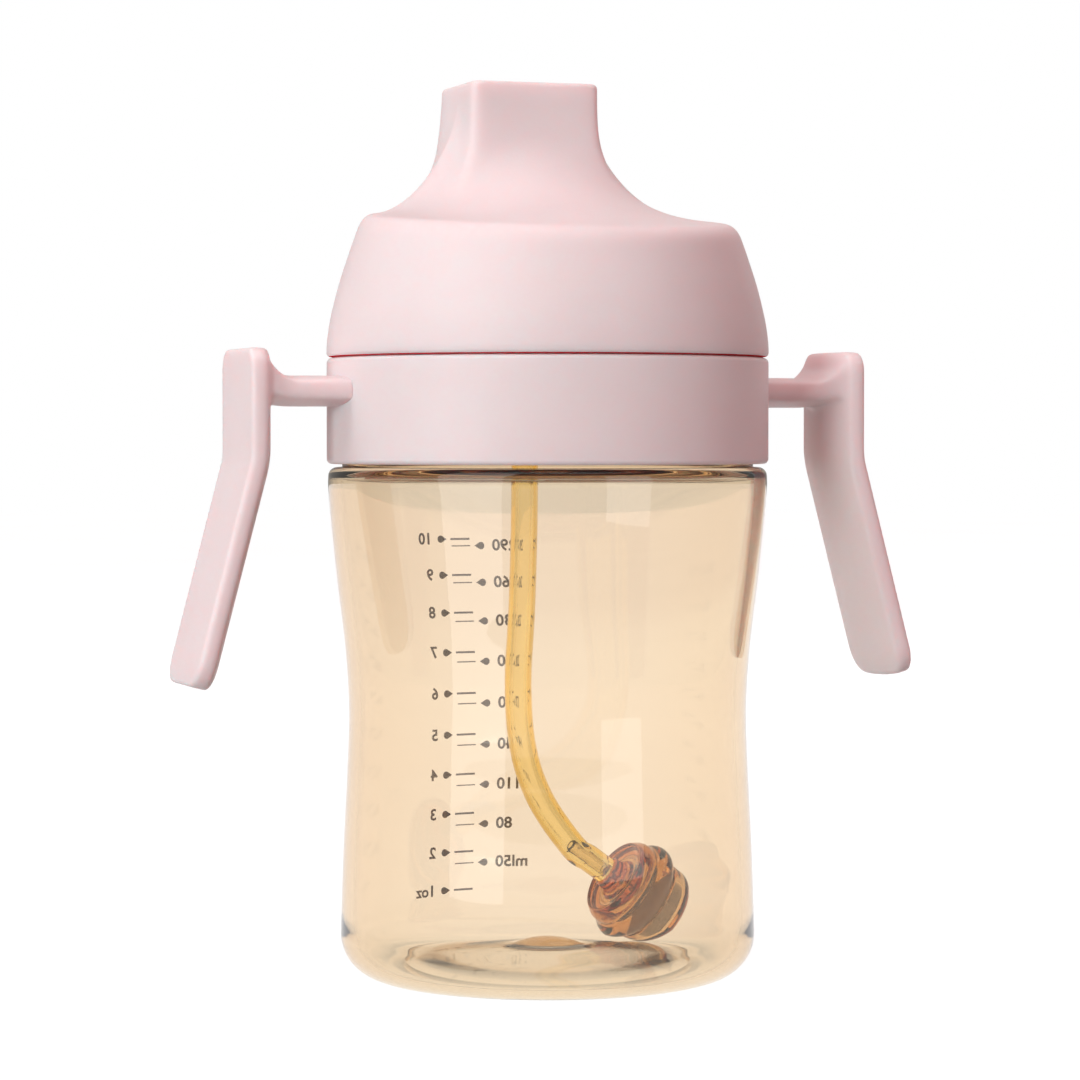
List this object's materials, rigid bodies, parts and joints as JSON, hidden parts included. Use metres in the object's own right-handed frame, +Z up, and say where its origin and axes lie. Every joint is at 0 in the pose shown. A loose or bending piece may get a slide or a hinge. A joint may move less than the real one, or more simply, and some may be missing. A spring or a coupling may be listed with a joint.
{
  "type": "sippy cup",
  "caption": "Toddler's sippy cup: clear bottle, screw collar with two handles, soft spout under a dust cap, and a bent straw with a weighted ball.",
  "frame": {"origin": "centre of the foot, on the bottle's axis, on the surface that the cup stands on", "axes": "+Z up along the bottle, +X along the two handles, -Y the plain front, +Y the side with the soft spout that the child drinks from"},
  "size_m": [0.1366, 0.08, 0.1622],
  "materials": {
    "bottle": "clear amber, polished",
    "pink_shell": "fine satin grain",
    "clear_silicone": "milky, satin",
    "straw_silicone": "clear amber, glossy",
    "ball_plastic": "clear brown amber, polished",
    "steel": "turned"
  },
  "bodies": {
    "bottle": {"bottle_body": "bottle"},
    "seal": {"lid_gasket": "clear_silicone"},
    "head": {"handle_collar": "pink_shell", "lid": "pink_shell", "vent_valve": "clear_silicone", "mouthpiece": "clear_silicone", "straw_connector": "ball_plastic", "straw_tube": "straw_silicone"},
    "cap": {"dust_cap": "pink_shell"},
    "ball": {"ball_top_shell": "ball_plastic", "ball_seal": "clear_silicone", "ball_core": "steel", "ball_cup": "ball_plastic"}
  },
  "joints": [
    {"name": "head_lift", "type": "slide", "parent": "bottle", "child": "seal", "axis": [0, 0, 1], "range_m": [0, 0.0068]},
    {"name": "collar_turn", "type": "hinge", "parent": "seal", "child": "head", "pos_m": [0, 0, 0.1], "axis": [0, 0, 1], "range_deg": [0, 540]},
    {"name": "cap_lift", "type": "slide", "parent": "head", "child": "cap", "axis": [0, 0, 1], "range_m": [0, 0.05]},
    {"name": "ball_swing", "type": "hinge", "parent": "head", "child": "ball", "pos_m": [-0.0015, 0.0124, 0.052], "axis": [1, 0, 0], "range_deg": [-32, 0], "stiffness_Nm_per_rad": 0.0013, "deforming": ["straw_tube"]}
  ],
  "couplings": [
    {"joint": "head_lift", "follows": "collar_turn", "m_per_rad": 0.0007162}
  ]
}
